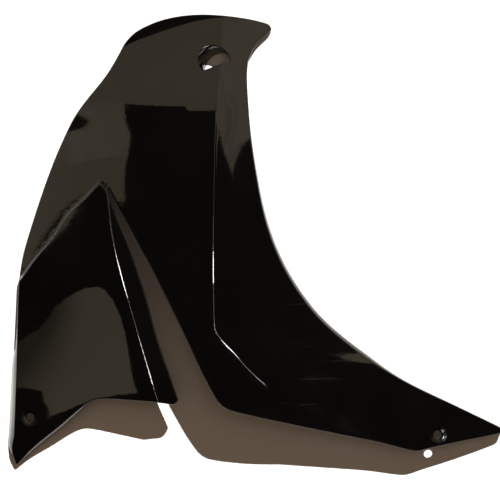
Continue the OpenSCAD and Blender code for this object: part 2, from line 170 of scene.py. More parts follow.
# Edges of the plan, each a smooth curve through its points, clockwise from the top left
TOP = [(113, 422), (118, 429), (126, 436.5), (138, 443), (151, 448), (170, 452), (192, 453.4),
       (211.5, 452.4), (230, 450.4), (248, 447), (259, 443.5), (262, 438.5)]
FREE = [(262, 438.5), (259, 436), (247, 425), (238, 405), (238.2, 365), (244, 307),
        (255.4, 247), (273, 201.5), (298.4, 162), (324, 135.5), (359.4, 108.8), (395.4, 86.8),
        (445.6, 62.5), (490, 41)]
TAIL_END = [(490, 41), (493, 37.5), (490, 35)]
FOOT = [(490, 35), (426, 23), (406, 18.5), (396, 20), (370, 27), (330, 35.5), (281, 46),
        (242, 55), (219, 61), (213, 64.5)]
SLOT_RIGHT = [(213, 64.5), (207.5, 70.5), (196, 92), (172, 143), (144, 199), (128, 228),
              (105.5, 270), (101.5, 278)]
SLOT_TOP = [(101.5, 278), (100.2, 280), (98.8, 278)]
SLOT_LEFT = [(98.8, 278), (109, 248), (120, 222), (130, 193), (138, 168), (148, 130), (162, 89),
             (169, 68.5)]
WING_FOOT = [(169, 68.5), (164, 65), (158, 66), (149, 67.5), (122, 69.5), (97, 70.5), (85, 69),
             (73, 62), (50.5, 43), (25.5, 22.5), (6, 2)]
LEFT = [(6, 2), (1.9, 17.5), (4.4, 33), (6, 66), (7, 103), (7.4, 155), (9, 190), (13, 215),
        (22, 245), (36, 286), (51, 323), (67, 354), (97, 393), (110.5, 416.5), (113, 422)]
STEP = [(9, 190), (24, 210), (43, 232), (58, 254), (75, 270), (92, 287), (95, 286), (98, 281)]
BROW = [(110.5, 416.5), (116, 420.5), (123, 424), (135, 429), (147, 433.5), (163, 439),
        (187, 446), (211.5, 449.5), (230, 447.5), (247, 444.3), (257, 441), (259, 436)]

# Creases of the skin, along which its mesh has finer rows of points
RIDGE_LINE = [(211.5, 449), (211, 401), (207.5, 352), (205.5, 290), (205.6, 150), (208.5, 137),
              (221.5, 122), (240, 101), (263, 79), (284, 46)]
CREST_LINE = [(94, 284), (98, 270), (103, 234), (114, 188), (125, 150), (137, 109), (149, 67.5)]

# Stations of the skin up the plan, each (y, value)
SPINE_X = [(0, 205.5), (268, 205.5), (352, 207.5), (401, 211), (455, 211.5)]
RIDGE_X = [(0, 311), (46, 284), (79, 263), (101, 240), (122, 221.5), (137, 208.5), (150, 205.8),
           (268, 205.5), (352, 207.5), (401, 211), (455, 211.5)]
FREE_X = [(0, 572), (41, 490), (63, 447), (93, 390), (124, 343), (159, 304), (202, 274),
          (249, 255), (307, 244), (365, 238), (405, 240), (430, 251), (455, 262)]
SPINE_Z = [(0, HEEL_H - 10), (63, HEEL_H), (92, HEEL_H + 4.5), (128, CROWN_H - 2), (168, CROWN_H),
           (208, CROWN_H - 2), (268, CROWN_H - 9), (348, BROW_H + 33), (408, BROW_H + 11),
           (455, BROW_H)]
FREE_Z = [(0, TAIL_H), (41, TAIL_H), (63, TAIL_H + 9), (93, TAIL_H + 18), (124, EDGE_H - 6),
          (159, EDGE_H - 2), (202, EDGE_H), (249, EDGE_H), (307, EDGE_H - 3), (365, EDGE_H - 13),
          (405, BROW_H + 4), (430, BROW_H - 2), (455, BROW_H - 4)]
COVE_SHARE = [(0, -TAIL_CROWN), (40, -TAIL_CROWN), (70, -0.1), (150, COVE), (330, COVE),
              (400, 0.1), (455, 0.1)]
FACE_RS = [(0, FACE_R), (330, FACE_R), (400, 1.6 * FACE_R), (455, 1.9 * FACE_R)]
CREST_X = [(0, 171), (67, 149), (109, 137), (150, 125), (188, 114), (234, 103), (270, 98),
           (284, 94), (300, 90)]
CREST_Z = [(0, CREST_FOOT_H - 16), (40, CREST_FOOT_H - 8), (68, CREST_FOOT_H), (118, CREST_H - 3),
           (168, CREST_H), (223, CREST_H - 2), (270, CREST_H - 7), (300, CREST_H - 13)]
WING_X = [(0, 4), (66, 6), (148, 7.4), (190, 9), (215, 13), (250, 24), (300, 41)]
WING_Z = [(2, TIP_H), (28, TIP_H + 7), (45, WING_EDGE_H - 1), (76, WING_EDGE_H),
          (103, WING_EDGE_H - 3), (129, EDGE_FOOT_H + 3), (160, EDGE_FOOT_H), (190, EDGE_FOOT_H),
          (300, EDGE_FOOT_H + 3)]
FLANK_FALL = [(2, WING_EDGE_H), (129, WING_EDGE_H), (170, EDGE_FOOT_H), (190, LIP_H)]
FLANK_OUT = [(2, BROW_FLARE), (10, 0.2 * FLANK_FLARE), (20, 0.75 * FLANK_FLARE),
             (30, FLANK_FLARE), (50, FLANK_FLARE), (84, 0.95 * FLANK_FLARE),
             (105, 0.85 * FLANK_FLARE), (129, 0.4 * FLANK_FLARE), (150, 0.2 * FLANK_FLARE),
             (172, LIP_FLARE), (190, BROW_FLARE)]
FREE_OUT = [(41, BROW_FLARE), (88, LIP_FLARE), (115, FREE_FLARE), (150, FREE_FLARE),
            (224, 0.8 * FREE_FLARE), (307, 0.4 * FREE_FLARE), (350, BROW_FLARE),
            (455, BROW_FLARE)]
SLOT_OUT = [(60, LIP_FLARE), (180, LIP_FLARE), (230, 0), (290, 0)]
WING_FOOT_OUT = [(6, BROW_FLARE), (14, 0.5 * FOOT_FLARE), (30, FOOT_FLARE), (60, FOOT_FLARE),
                 (80, 0.8 * FOOT_FLARE), (97, LIP_FLARE), (149, LIP_FLARE), (169, BROW_FLARE)]
SWELL = [(0, 0), (68, 1), (100, WING_SWELL / 2), (148, WING_SWELL), (190, WING_SWELL),
         (250, WING_SWELL / 2), (300, 1)]


def smooth(keys, values, s):
    """Value at s of the smooth curve through values held at rising keys, straight past its ends."""
    keys, values, s = (np.asarray(a, float) for a in (keys, values, s))
    n = len(keys)
    before, after = np.maximum(np.arange(n) - 1, 0), np.minimum(np.arange(n) + 1, n - 1)
    gap = keys[after] - keys[before]
    rate = (values[after] - values[before]) / (gap[:, None] if values.ndim > 1 else gap)
    inside = np.clip(s, keys[0], keys[-1])
    i = np.clip(np.searchsorted(keys, inside, side="right") - 1, 0, n - 2)
    span = keys[i + 1] - keys[i]
    t = (inside - keys[i]) / span
    if values.ndim > 1:
        t, span, over = t[:, None], span[:, None], (s - inside)[:, None]
    else:
        over = s - inside
    end = np.where(over < 0, rate[0], rate[-1])
    return (values[i] * (2 * t**3 - 3 * t**2 + 1) + rate[i] * span * (t**3 - 2 * t**2 + t)
            + values[i + 1] * (3 * t**2 - 2 * t**3) + rate[i + 1] * span * (t**3 - t**2)
            + end * over)


def station(stations, y):
    """Value of a station list at height y of the plan."""
    keys, values = zip(*stations)
    return smooth(keys, values, y)


def curve(points, gap):
    """Points about gap apart along the smooth curve through points, both ends included."""
    p = np.array(points, float)
    keys = np.concatenate([[0], np.cumsum(np.linalg.norm(np.diff(p, axis=0), axis=1))])
    fine = smooth(keys, p, np.linspace(0, keys[-1], 40 * len(p)))
    run = np.concatenate([[0], np.cumsum(np.linalg.norm(np.diff(fine, axis=0), axis=1))])
    count = max(2, round(run[-1] / gap))
    at = np.linspace(0, run[-1], count + 1)
    return np.column_stack([np.interp(at, run, fine[:, 0]), np.interp(at, run, fine[:, 1])])


def main_height(x, y):
    """Height of the main skin over points of the plan, with sharp ridges."""
    spine, ridge, z = station(SPINE_X, y), station(RIDGE_X, y), station(SPINE_Z, y)
    near = np.minimum(x, ridge)
    side = np.where(x < spine, station(FACE_RS, y), HEEL_R)
    near_z = z - (near - spine) ** 2 / (2 * side)
    w = np.maximum(x - ridge, 0) / (station(FREE_X, y) - ridge)
    return near_z - (near_z - station(FREE_Z, y)) * (w + station(COVE_SHARE, y) * w * (1 - w))


def wing_height(x, y):
    """Height of the winglet over points of the plan, with a sharp crest."""
    crest, z = station(CREST_X, y), station(CREST_Z, y)
    edge_x, edge_z = station(WING_X, y), station(WING_Z, y)
    q = (np.minimum(x, crest) - edge_x) / (crest - edge_x)
    broad = edge_z + (z - edge_z) * q + 4 * station(SWELL, y) * q * (1 - q)
    return broad - FACET_SLOPE * np.maximum(x - crest, 0)


def soften(loop, softness, gap):
    """A closed loop with its corners rounded over about softness, in points about gap apart."""
    step = np.linalg.norm(np.roll(loop, -1, axis=0) - loop, axis=1)
    run = np.concatenate([[0], np.cumsum(step)])
    closed = np.vstack([loop, loop[:1]])
    count = round(run[-1] / FINE_GAP)
    at = np.linspace(0, run[-1], count, endpoint=False)
    fine = np.column_stack([np.interp(at, run, closed[:, k]) for k in (0, 1)])
    reach = round(4 * softness / FINE_GAP)
    weight = np.exp(-0.5 * (np.arange(-reach, reach + 1) * FINE_GAP / softness) ** 2)
    weight /= weight.sum()
    fine = sum(w * np.roll(fine, k, axis=0) for k, w in zip(range(-reach, reach + 1), weight))
    keep = np.linspace(0, count, max(12, round(run[-1] / gap)), endpoint=False).astype(int)
    return fine[keep]


class HeightMap:
    """A height function sampled each millimetre and rounded along its ridges."""

    LOW, HIGH = np.array([-30, -30]), np.array([530, 490])

    def __init__(self, height, rounding):
        x = np.arange(self.LOW[0], self.HIGH[0] + 1)
        y = np.arange(self.LOW[1], self.HIGH[1] + 1)
        z = height(*np.meshgrid(x, y))
        reach = int(4 * rounding)
        weight = np.exp(-0.5 * (np.arange(-reach, reach + 1) / rounding) ** 2)
        weight /= weight.sum()
        for axis in (0, 1):
            pad = [(reach, reach) if a == axis else (0, 0) for a in (0, 1)]
            wide = np.pad(z, pad, mode="reflect", reflect_type="odd")
            z = np.apply_along_axis(np.convolve, axis, wide, weight, mode="valid")
        self.z = z

    def height(self, p):
        """Height over each of points p, between the four samples round it."""
        q = np.clip(p - self.LOW, 0, self.HIGH - self.LOW - 1.001)
        i = q.astype(int)
        u, v = (q - i).T
        x, y = i.T
        z = self.z
        return ((z[y, x] * (1 - u) + z[y, x + 1] * u) * (1 - v)
                + (z[y + 1, x] * (1 - u) + z[y + 1, x + 1] * u) * v)


def away(p, line):
    """Distance from each of points p to a polyline, and which side: positive to its left."""
    best, side = np.full(len(p), np.inf), np.ones(len(p))
    for a, b in zip(line[:-1], line[1:]):
        ab, ap = b - a, p - a
        t = np.clip(ap @ ab / (ab @ ab), 0, 1)
        d = np.linalg.norm(ap - t[:, None] * ab, axis=1)
        closer = d < best - 1e-9
        best[closer] = d[closer]
        side[closer] = np.sign(ab[0] * ap[closer, 1] - ab[1] * ap[closer, 0])
    return best, side


def inside(p, loop):
    """Whether each of points p lies in a closed loop."""
    x, y = p.T
    hit = np.zeros(len(p), bool)
    for (ax, ay), (bx, by) in zip(loop, np.roll(loop, -1, axis=0)):
        if ay != by:
            hit ^= ((ay > y) != (by > y)) & (x < (bx - ax) * (y - ay) / (by - ay) + ax)
    return hit


class Skin:
    """The moulded skin as a height over the plan, and the outline that bounds it."""

    def __init__(self, gap, ridge_round):
        self.main = HeightMap(main_height, ridge_round)
        self.wing = HeightMap(wing_height, ridge_round)
        runs = [TOP, FREE, TAIL_END, FOOT, SLOT_RIGHT, SLOT_TOP, SLOT_LEFT, WING_FOOT, LEFT]
        self.outline = soften(np.concatenate([curve(run, 0.5)[:-1] for run in runs]),
                              CORNER_SOFTNESS, gap)
        self.step = curve(STEP, gap)
        self.brow = curve(BROW, gap)
        wing_left = LEFT[:LEFT.index(STEP[0]) + 1]
        wing_edge = [curve(run, gap) for run in (SLOT_LEFT, WING_FOOT, wing_left)]
        self.wing_loop = np.concatenate([self.step[:-1], *wing_edge])
        self.brow_loop = np.concatenate([curve(TOP, gap), self.brow[::-1]])

    def rim(self):
        """Flare and fall of the rim at each point of the outline."""
        edge = self.outline
        runs = (TOP, FREE, TAIL_END, FOOT, SLOT_RIGHT, SLOT_LEFT, WING_FOOT, LEFT)
        nearest = np.argmin([away(edge, curve(run, 2))[0] for run in runs], axis=0)
        x, y = edge.T
        in_slot, flank = station(SLOT_OUT, y), y < FLANK_OUT[-1][0]
        flares = (BROW_FLARE, station(FREE_OUT, y), BROW_FLARE, LIP_FLARE, in_slot, in_slot,
                  station(WING_FOOT_OUT, x), np.where(flank, station(FLANK_OUT, y), BROW_FLARE))
        flare = np.choose(nearest, [np.broadcast_to(f, len(edge)) for f in flares])
        fall = LIP_H + (TAIL_H - LIP_H) * np.clip((x - TAIL_LIP_X) / TAIL_LIP_RUN, 0, 1)
        fall = np.where((nearest == len(runs) - 1) & flank, station(FLANK_FALL, y), fall)
        for _ in range(6):
            flare = (np.roll(flare, 1) + 2 * flare + np.roll(flare, -1)) / 4
            fall = (np.roll(fall, 1) + 2 * fall + np.roll(fall, -1)) / 4
        return flare, fall

    def share(self, p):
        """How far each point belongs to the winglet: 0 above the step, 1 past it."""
        d, _ = away(p, self.step)
        t = np.clip(d / STEP_RUN, 0, 1)
        # A point on the loop itself belongs to the winglet too, so its neighbours are asked
        on_wing = inside(p, self.wing_loop)
        for probe in ((0.2, 0), (-0.2, 0), (0, 0.2)):
            on_wing |= inside(p + probe, self.wing_loop)
        return np.where(on_wing, t * t * (3 - 2 * t), 0)

    def height(self, p):
        """Height of the skin over each point: main skin or winglet, fallen off past the brow."""
        s = self.share(p)
        d, _ = away(p, self.brow)
        above = inside(p - (0, 0.3), self.brow_loop) | inside(p, self.brow_loop)
        fall = np.where(above, BROW_SLOPE * (np.sqrt(d * d + 1) - 1), 0)
        return self.main.height(p) * (1 - s) + self.wing.height(p) * s - fall

    def normal(self, p):
        """Outward direction of the skin over each point, from the heights round it."""
        d = 0.4
        n = np.column_stack([self.height(p - (d, 0)) - self.height(p + (d, 0)),
                             self.height(p - (0, d)) - self.height(p + (0, d)),
                             np.full(len(p), 2 * d)])
        return n / np.linalg.norm(n, axis=1)[:, None]


class Shell:
    """Collects the points and faces of one closed moulding, in millimetres of the plan."""

    def __init__(self):
        self.points, self.normals, self.faces, self.looks = [], [], [], []
        self.count = 0
        self.look = 0

    def add(self, p, normals=None):
        """Adds points, with the normals that their surface has there, and returns their numbers."""
        self.points.append(p)
        self.normals.append(np.full((len(p), 3), np.nan) if normals is None else normals)
        self.count += len(p)
        return np.arange(self.count - len(p), self.count)

    def face(self, rows):
        """Adds faces, each a row of point numbers, in the present look."""
        rows = [tuple(int(i) for i in row) for row in rows]
        self.faces += rows
        self.looks += [self.look] * len(rows)

    def bridge(self, a, b):
        """Joins two closed rings point by point; its outer side is on the left on the way down."""
        self.face(np.column_stack([a, np.roll(a, -1), np.roll(b, -1), b]))

    def sweep(self, first, rings, last_normals=None):
        """Joins a ring of point numbers to each ring of points in turn, and returns the last."""
        for ring in rings:
            numbers = self.add(ring, last_normals if ring is rings[-1] else None)
            self.bridge(first, numbers)
            first = numbers
        return first

    def fill(self, loops, spots, height, normal, up):
        """Fills the plan inside the first loop and outside the others, through the spots."""
        inner = self.add(np.column_stack([spots, height(spots)]), normal(spots))
        numbers = np.concatenate([n for n, _ in loops] + [inner])
        flat = np.concatenate([p for _, p in loops] + [spots])
        edges, start = [], 0
        for n, _ in loops:
            edges += [(start + i, start + (i + 1) % len(n)) for i in range(len(n))]
            start += len(n)
        flat_points = [Vector(p) for p in flat]
        _, _, faces, origin, _, _ = delaunay_2d_cdt(flat_points, edges, [], 0, 1e-7)
        if any(not o for o in origin):
            raise RuntimeError("an edge of the moulding crosses itself")
        place = np.array([o[0] for o in origin])
        faces = place[np.array(faces)]
        centre = flat[faces].mean(axis=1)
        keep = inside(centre, loops[0][1])
        for _, hole in loops[1:]:
            keep &= ~inside(centre, hole)
        faces = numbers[faces[keep]]
        self.face(faces if up else faces[:, ::-1])


def bend(a, corner, b, parts=4):
    """Rings that round a corner between rings a and b, b included."""
    t = np.linspace(0, 1, parts + 1)[1:]
    return [(1 - k) ** 2 * a + 2 * k * (1 - k) * corner + k * k * b for k in t]


def spread(loops, gap, lines, line_gap):
    """Spots about gap apart inside the first loop, clear of the others, and along the lines."""
    lo, hi = loops[0].min(0), loops[0].max(0)
    rows = np.arange(lo[1], hi[1], gap * math.sqrt(0.75))
    cols = np.arange(lo[0], hi[0], gap)
    spots = np.array([(x + (j % 2) * gap / 2, y) for j, y in enumerate(rows) for x in cols])
    spots = spots[inside(spots, loops[0])]
    for hole in loops[1:]:
        spots = spots[~inside(spots, hole)]
    edge = np.concatenate(loops)
    along = np.concatenate(lines) if lines else np.empty((0, 2))
    if len(along):
        along = along[inside(along, loops[0])]
        along = clear_of(along, edge, CLEAR_SHARE * line_gap)
        spots = clear_of(spots, along, CLEAR_SHARE * gap)
    return np.concatenate([clear_of(spots, edge, CLEAR_SHARE * gap), along])


def inset(edge, out, depth):
    """The loop that runs depth inside the edge, point by point, evened out in tight corners."""
    loop = edge - depth * out
    near, _ = away(loop, np.vstack([edge, edge[:1]]))
    tight = near < 0.97 * depth
    if not tight.any():
        return loop
    tight |= np.roll(tight, 1) | np.roll(tight, -1)
    count = len(loop)
    first = int(np.argmin(tight))
    loop, tight = np.roll(loop, -first, axis=0), np.roll(tight, -first)
    starts = np.flatnonzero(tight & ~np.roll(tight, 1))
    ends = np.flatnonzero(tight & ~np.roll(tight, -1))
    for i, j in zip(starts, ends):
        reach = j - i + 3
        window = np.arange(i - reach, j + reach + 1) % count
        kept = loop[[k for k in window if not tight[k]]]
        run = np.concatenate([[0], np.cumsum(np.linalg.norm(np.diff(kept, axis=0), axis=1))])
        even = np.linspace(0, run[-1], len(window))
        loop[window] = np.column_stack([np.interp(even, run, kept[:, k]) for k in (0, 1)])
    return np.roll(loop, first, axis=0)


def clear_of(points, others, gap):
    """Those points that lie further than gap from all the others."""
    tree = KDTree(len(others))
    for i, p in enumerate(others):
        tree.insert((*p, 0), i)
    tree.balance()
    return points[[tree.find((*p, 0))[2] > gap for p in points]]


def beside(points, gap, offset):
    """A line that runs offset to the left of the smooth curve through points."""
    line = curve(points, gap)
    way = np.gradient(line, axis=0)
    way /= np.linalg.norm(way, axis=1)[:, None]
    return line + offset * np.column_stack([-way[:, 1], way[:, 0]])


class Socket:
    """A round or D shaped well that goes down from the skin along its own axis."""

    def __init__(self, skin, at, axes, outline):
        self.axes, self.outline = axes, outline
        at = np.array([at], float)
        self.origin = np.array([*at[0], skin.height(at)[0]])

    def ring(self, grow, depth):
        """The outline, grown by that much, at a depth along the axis."""
        across, up, out = self.axes
        p = self.outline(grow)
        return self.origin + p[:, :1] * across + p[:, 1:] * up - depth * out

    def on_skin(self, grow, height):
        """The grown outline carried along the axis to a surface given as height over the plan."""
        ring, out = self.ring(grow, 0), self.axes[2]
        for _ in range(12):
            ring = ring + ((height(ring[:, :2]) - ring[:, 2]) / out[2])[:, None] * out
        return ring


def circle_outline(radius, gap):
    """A circle; each grown copy has the same number of points."""
    count = max(24, round(2 * math.pi * radius / gap))
    turn = np.linspace(0, 2 * math.pi, count, endpoint=False)
    return lambda grow: (radius + grow) * np.column_stack([np.cos(turn), np.sin(turn)])


def sleeve_outline(gap):
    """The D, with its flat side turned; each grown copy has the same number of points."""
    count = round(2 * math.pi * SLEEVE_R / gap)
    tilt = math.radians(SLEEVE_TURN)
    turn = np.array([[math.cos(tilt), math.sin(tilt)], [-math.sin(tilt), math.cos(tilt)]])

    def outline(grow):
        radius, flat = SLEEVE_R + grow, SLEEVE_FLAT + grow
        start = -math.asin(flat / radius)
        arc = np.linspace(start, math.pi - start, 200)
        round_side = radius * np.column_stack([np.cos(arc), np.sin(arc)])
        flat_side = np.linspace(round_side[-1], round_side[0], 60)[1:-1]
        loop = soften(np.concatenate([round_side, flat_side]), SLEEVE_CORNER, FINE_GAP)
        pick = np.linspace(0, len(loop), count, endpoint=False).astype(int)
        return loop[pick] @ turn

    return outline


def square_to(normal):
    """Axes of a socket that goes straight into the skin."""
    across = np.cross((0, 1, 0), normal)
    across /= np.linalg.norm(across)
    return across, np.cross(normal, across), normal


def leaned(lean_x, lean_y):
    """Axes of a socket that leans right and towards the tail as it goes down."""
    a, b = math.radians(-lean_y), math.radians(-lean_x)
    about_x = np.array([[1, 0, 0], [0, math.cos(a), -math.sin(a)], [0, math.sin(a), math.cos(a)]])
    about_y = np.array([[math.cos(b), 0, math.sin(b)], [0, 1, 0], [-math.sin(b), 0, math.cos(b)]])
    return tuple((about_y @ about_x).T)


def mould_fairing(gap, ridge_round):
    """The whole moulding as one closed shell, in millimetres of the plan."""
    skin = Skin(0.8 * gap, ridge_round)

    def back(p):
        """Height of the inner side over points of the plan."""
        return skin.height(p) - WALL / np.maximum(skin.normal(p)[:, 2], STEEP_LIMIT)

    def back_normal(p):
        """Outward direction of the inner side, the skin's turned round."""
        return -skin.normal(p)

    edge = skin.outline
    way = np.roll(edge, -1, axis=0) - np.roll(edge, 1, axis=0)
    way /= np.linalg.norm(way, axis=1)[:, None]
    out = np.column_stack([-way[:, 1], way[:, 0]])
    brink = skin.height(edge - 0.4 * out)
    flare, fall = skin.rim()
    foot = np.maximum(brink - fall, 0)

    def rim(shift, z):
        """The edge moved out by shift, at height z."""
        p = edge + np.reshape(shift, (-1, 1)) * out
        return np.column_stack([p, np.broadcast_to(z, len(p))])

    def lip(shift, drop):
        """The rim, drop below the brink, as it flares."""
        return rim(shift + flare * drop / (brink - foot), brink - drop)

    start = inset(edge, out, EDGE_ROUND)
    rim_start = np.column_stack([start, skin.height(start)])
    inner = inset(edge, out, RIM_WALL)
    inner_rim = np.column_stack([inner, back(inner)])

    tail_seat = Socket(skin, TAIL_SCREW, square_to(skin.normal(np.array([TAIL_SCREW]))[0]),
                       circle_outline(SEAT_R, gap=0.9))
    wing_seat = Socket(skin, WING_SCREW, square_to(skin.normal(np.array([WING_SCREW]))[0]),
                       circle_outline(SEAT_R, gap=0.9))
    sleeve = Socket(skin, SLEEVE_AT, leaned(*SLEEVE_LEAN), sleeve_outline(gap=1.0))

    shell = Shell()
    seat_floor = SEAT_DEPTH + SEAT_WALL

    def seat_rings(seat):
        """Rings down the seat's well, through its bore and up outside its cup."""
        brim, soft = seat.on_skin(0, skin.height), SEAT_BRIM_ROUND
        first = seat.on_skin(soft, skin.height)
        drop = SCREW_R - SEAT_R
        rings = bend(first, brim, brim - soft * seat.axes[2])
        rings += bend(seat.ring(0, SEAT_DEPTH - soft), seat.ring(0, SEAT_DEPTH),
                      seat.ring(-soft, SEAT_DEPTH), 3)
        rings += bend(seat.ring(drop + BORE_ROUND, SEAT_DEPTH), seat.ring(drop, SEAT_DEPTH),
                      seat.ring(drop, SEAT_DEPTH + BORE_ROUND), 2)
        rings += bend(seat.ring(drop, seat_floor - BORE_ROUND), seat.ring(drop, seat_floor),
                      seat.ring(drop + BORE_ROUND, seat_floor), 2)
        rings += bend(seat.ring(CUP_WALL - END_ROUND, seat_floor), seat.ring(CUP_WALL, seat_floor),
                      seat.ring(CUP_WALL, seat_floor - END_ROUND), 2)
        return first, rings, seat.on_skin(CUP_WALL, back)

    def sleeve_rings():
        """Rings down inside the sleeve, round its end and up outside it."""
        brim, soft = sleeve.on_skin(0, skin.height), SLEEVE_BRIM_ROUND
        first = sleeve.on_skin(soft, skin.height)
        end = SLEEVE_DEPTH
        rings = bend(first, brim, brim - soft * sleeve.axes[2])
        rings += bend(sleeve.ring(0, end - END_ROUND), sleeve.ring(0, end),
                      sleeve.ring(END_ROUND, end), 2)
        rings += bend(sleeve.ring(SLEEVE_WALL - END_ROUND, end), sleeve.ring(SLEEVE_WALL, end),
                      sleeve.ring(SLEEVE_WALL, end - END_ROUND), 2)
        return first, rings, sleeve.on_skin(SLEEVE_WALL, back)

    wells = [seat_rings(tail_seat), seat_rings(wing_seat), sleeve_rings()]

    # The face: outer skin, then the rim rolled over and down to its foot
    lines = [beside(line, gap, k * 0.5 * gap) for line in (RIDGE_LINE, CREST_LINE)
             for k in (-2, -1, 0, 1, 2)]
    lines += [beside(STEP, gap, -k * STEP_RUN / 5) for k in range(7)]
    lines += [beside(BROW, gap, k * 0.7) for k in (-2, -1, 0, 1, 2)]
    rim_numbers = shell.add(rim_start, skin.normal(start))
    well_numbers = [shell.add(first, skin.normal(first[:, :2])) for first, _, _ in wells]
    loops = [(rim_numbers, start)] + [(n, w[0][:, :2]) for n, w in zip(well_numbers, wells)]
    spots = spread([p for _, p in loops], gap, lines, 0.5 * gap)
    shell.fill(loops, spots, skin.height, skin.normal, True)
    side = bend(rim_start, rim(0, brink), lip(0, EDGE_ROUND))
    side += [lip(0, 0.5 * (brink - foot))]
    side += bend(lip(0, brink - foot - FOOT_ROUND), lip(0, brink - foot),
                 lip(-FOOT_ROUND, brink - foot), 3)
    last = shell.sweep(rim_numbers, side)
    shell.look = 1
    side = bend(lip(FOOT_ROUND - RIM_WALL, brink - foot), lip(-RIM_WALL, brink - foot),
                lip(-RIM_WALL, brink - foot - FOOT_ROUND), 2)
    last = shell.sweep(last, side + [inner_rim], back_normal(inner))

    # The inner side: the wells are gloss down to the last rings of their ends, then satin
    inner_loops = [(last, inner)]
    for numbers, (_, rings, end) in zip(well_numbers, wells):
        shell.look = 0
        ring = shell.sweep(numbers, rings[:-2])
        shell.look = 1
        ring = shell.sweep(ring, rings[-2:] + [end], back_normal(end[:, :2]))
        inner_loops.append((ring, end[:, :2]))
    spots = spread([p for _, p in inner_loops], 2 * gap, [], gap)
    shell.fill(inner_loops, spots, back, back_normal, False)
    return shell


def noise(tree, place, scale, detail=2.0, roughness=0.5):
    """A noise texture on the object's own coordinates."""
    node = tree.nodes.new("ShaderNodeTexNoise")
    node.inputs["Scale"].default_value = scale
    node.inputs["Detail"].default_value = detail
    node.inputs["Roughness"].default_value = roughness
    tree.links.new(place, node.inputs["Vector"])
    return node.outputs["Fac"]


def cells(tree, place, scale):
    """Distance from the nearest point of a random scatter."""
    node = tree.nodes.new("ShaderNodeTexVoronoi")
    node.inputs["Scale"].default_value = scale
    tree.links.new(place, node.inputs["Vector"])
    return node.outputs["Distance"]


def span(tree, value, low, high, to_low=0.0, to_high=1.0):
    """A value carried smoothly from one range to another, held at the ends."""
    node = tree.nodes.new("ShaderNodeMapRange")
    node.interpolation_type = "SMOOTHSTEP"
    for name, number in (("From Min", low), ("From Max", high), ("To Min", to_low),
                         ("To Max", to_high)):
        node.inputs[name].default_value = number
    tree.links.new(value, node.inputs["Value"])
    return node.outputs["Result"]


def reckon(tree, operation, a, b):
    """A sum, product or the like of two values or sockets."""
    node = tree.nodes.new("ShaderNodeMath")
    node.operation = operation
    for socket, value in zip(node.inputs, (a, b)):
        if isinstance(value, (int, float)):
            socket.default_value = value
        else:
            tree.links.new(value, socket)
    return node.outputs["Value"]


def blend(tree, amount, a, b):
    """Colour a, turning into colour b."""
    node = tree.nodes.new("ShaderNodeMix")
    node.data_type = "RGBA"
    tree.links.new(amount, node.inputs["Factor"])
    for socket, colour in ((node.inputs[6], a), (node.inputs[7], b)):
        if isinstance(colour, (tuple, list)):
            socket.default_value = (*colour, 1)
        else:
            tree.links.new(colour, socket)
    return node.outputs[2]


def bump(tree, height, strength, distance, under=None):
    """Relief of the surface, over another relief where there is one."""
    node = tree.nodes.new("ShaderNodeBump")
    node.inputs["Strength"].default_value = strength
    node.inputs["Distance"].default_value = distance
    tree.links.new(height, node.inputs["Height"])
    if under is not None:
        tree.links.new(under, node.inputs["Normal"])
    return node.outputs["Normal"]


def stretched(tree, place, scale, turn):
    """The object's coordinates, turned about Z and stretched."""
    node = tree.nodes.new("ShaderNodeMapping")
    node.inputs["Scale"].default_value = scale
    node.inputs["Rotation"].default_value = (0, 0, turn)
    tree.links.new(place, node.inputs["Vector"])
    return node.outputs["Vector"]


def new_material(name):
    """An empty node material, its shader and the object's coordinates."""
    material = bpy.data.materials.new(name)
    material.use_nodes = True
    tree = material.node_tree
    shader = tree.nodes["Principled BSDF"]
    place = tree.nodes.new("ShaderNodeTexCoord").outputs["Object"]
    return material, tree, shader, place


def gloss_black(looks):
    """Polished black plastic: deep and clear, with a faint ripple, fine dust and hairline marks."""
    material, tree, shader, place = new_material("gloss_black_plastic")
    haze = span(tree, noise(tree, place, 14, detail=4, roughness=0.6), 0.42, 0.75)
    dust = span(tree, cells(tree, place, 420), 0.035, 0.07, 1, 0)
    patchy = span(tree, noise(tree, place, 30, detail=3, roughness=0.6), 0.5, 0.72)
    dust = reckon(tree, "MULTIPLY", dust, patchy)
    hairs = []
    for turn, closeness in ((0.35, 1.0), (1.25, 1.4), (-0.6, 0.8)):
        fine_rows = stretched(tree, place, (9, 420 * closeness, 9), turn)
        lines = noise(tree, fine_rows, 1.0, detail=1.5)
        hairs.append(span(tree, lines, 0.725, 0.76))
    marks = reckon(tree, "MAXIMUM", reckon(tree, "MAXIMUM", hairs[0], hairs[1]), hairs[2])
    marks = reckon(tree, "MULTIPLY", marks, span(tree, noise(tree, place, 9), 0.5, 0.7))
    base = blend(tree, reckon(tree, "MULTIPLY", haze, 0.4), looks.gloss_colour[:],
                 looks.haze_colour[:])
    base = blend(tree, reckon(tree, "MULTIPLY", dust, looks.dust), base, looks.dust_colour[:])
    tree.links.new(base, shader.inputs["Base Color"])
    rough = reckon(tree, "ADD", span(tree, haze, 0, 1, looks.gloss_roughness,
                                     looks.gloss_roughness + 0.035),
                   reckon(tree, "MULTIPLY", reckon(tree, "ADD", dust, marks), 0.18))
    tree.links.new(rough, shader.inputs["Roughness"])
    ripple = bump(tree, noise(tree, place, 260, detail=1.5), 0.05, 0.0004)
    relief = bump(tree, reckon(tree, "SUBTRACT", dust, marks), 0.15, 0.00006, ripple)
    tree.links.new(relief, shader.inputs["Normal"])
    shader.inputs["IOR"].default_value = 1.5
    return material


